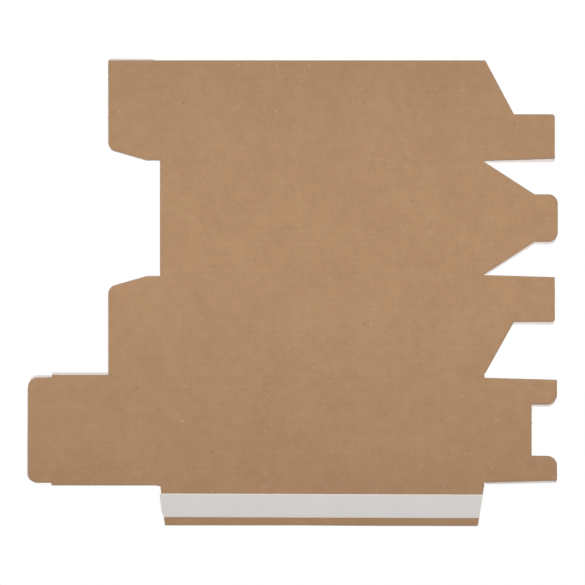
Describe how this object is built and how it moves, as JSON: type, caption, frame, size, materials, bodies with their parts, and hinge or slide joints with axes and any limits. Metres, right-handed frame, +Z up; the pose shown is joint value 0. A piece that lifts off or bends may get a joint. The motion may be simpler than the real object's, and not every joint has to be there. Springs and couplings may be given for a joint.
{
  "type": "flat gift box blank",
  "caption": "Flat die-cut cardboard blank of a tall gift box: creased walls in a row, tuck lid, dust flaps, snap-lock base flaps, and a seam flap with a covered adhesive strip.",
  "frame": {"origin": "centre of the blank's bounding box, on the surface that it lies on", "axes": "+X along the walls' height, from the lid end to the base end; +Y across the walls, towards the free edge of the first side wall; +Z up, out of the brown outer face"},
  "size_m": [0.2694, 0.2364, 0.0018],
  "materials": {
    "kraft_board": "matte brown kraft outside, white paper inside",
    "adhesive": "tacky, nearly clear",
    "release_paper": "smooth, slightly satin"
  },
  "bodies": {
    "walls": {"wall_panels": "kraft_board"},
    "lid": {"lid_panel": "kraft_board"},
    "tuck": {"tuck_flap": "kraft_board"},
    "first_dust": {"first_dust_flap": "kraft_board"},
    "second_dust": {"second_dust_flap": "kraft_board"},
    "first_base_side": {"first_base_side_flap": "kraft_board"},
    "base_tongue": {"base_tongue_flap": "kraft_board"},
    "second_base_side": {"second_base_side_flap": "kraft_board"},
    "base_slotted": {"base_slotted_flap": "kraft_board"},
    "seam": {"seam_flap": "kraft_board", "adhesive_tape": "adhesive", "release_liner": "release_paper"}
  },
  "joints": [
    {"name": "lid_fold", "type": "hinge", "parent": "walls", "child": "lid", "pos_m": [-0.0691, -0.06975, 0.0011], "axis": [0, -1, 0], "range_deg": [-90, 90]},
    {"name": "tuck_fold", "type": "hinge", "parent": "lid", "child": "tuck", "pos_m": [-0.1211, -0.06975, 0.0011], "axis": [0, -1, 0], "range_deg": [-90, 90]},
    {"name": "first_dust_fold", "type": "hinge", "parent": "walls", "child": "first_dust", "pos_m": [-0.0676, 0.0925, 0.0011], "axis": [0, -1, 0], "range_deg": [-90, 90]},
    {"name": "second_dust_fold", "type": "hinge", "parent": "walls", "child": "second_dust", "pos_m": [-0.0676, -0.016, 0.0011], "axis": [0, -1, 0], "range_deg": [-90, 90]},
    {"name": "first_base_side_fold", "type": "hinge", "parent": "walls", "child": "first_base_side", "pos_m": [0.0974, 0.0925, 0.0011], "axis": [0, 1, 0], "range_deg": [-90, 90]},
    {"name": "base_tongue_fold", "type": "hinge", "parent": "walls", "child": "base_tongue", "pos_m": [0.0974, 0.038, 0.0011], "axis": [0, 1, 0], "range_deg": [-90, 90]},
    {"name": "second_base_side_fold", "type": "hinge", "parent": "walls", "child": "second_base_side", "pos_m": [0.0974, -0.016, 0.0011], "axis": [0, 1, 0], "range_deg": [-90, 90]},
    {"name": "base_slotted_fold", "type": "hinge", "parent": "walls", "child": "base_slotted", "pos_m": [0.0974, -0.06975, 0.0011], "axis": [0, 1, 0], "range_deg": [-90, 90]},
    {"name": "seam_fold", "type": "hinge", "parent": "walls", "child": "seam", "pos_m": [0.0149, -0.09825, 0.0011], "axis": [1, 0, 0], "range_deg": [-90, 90]}
  ]
}
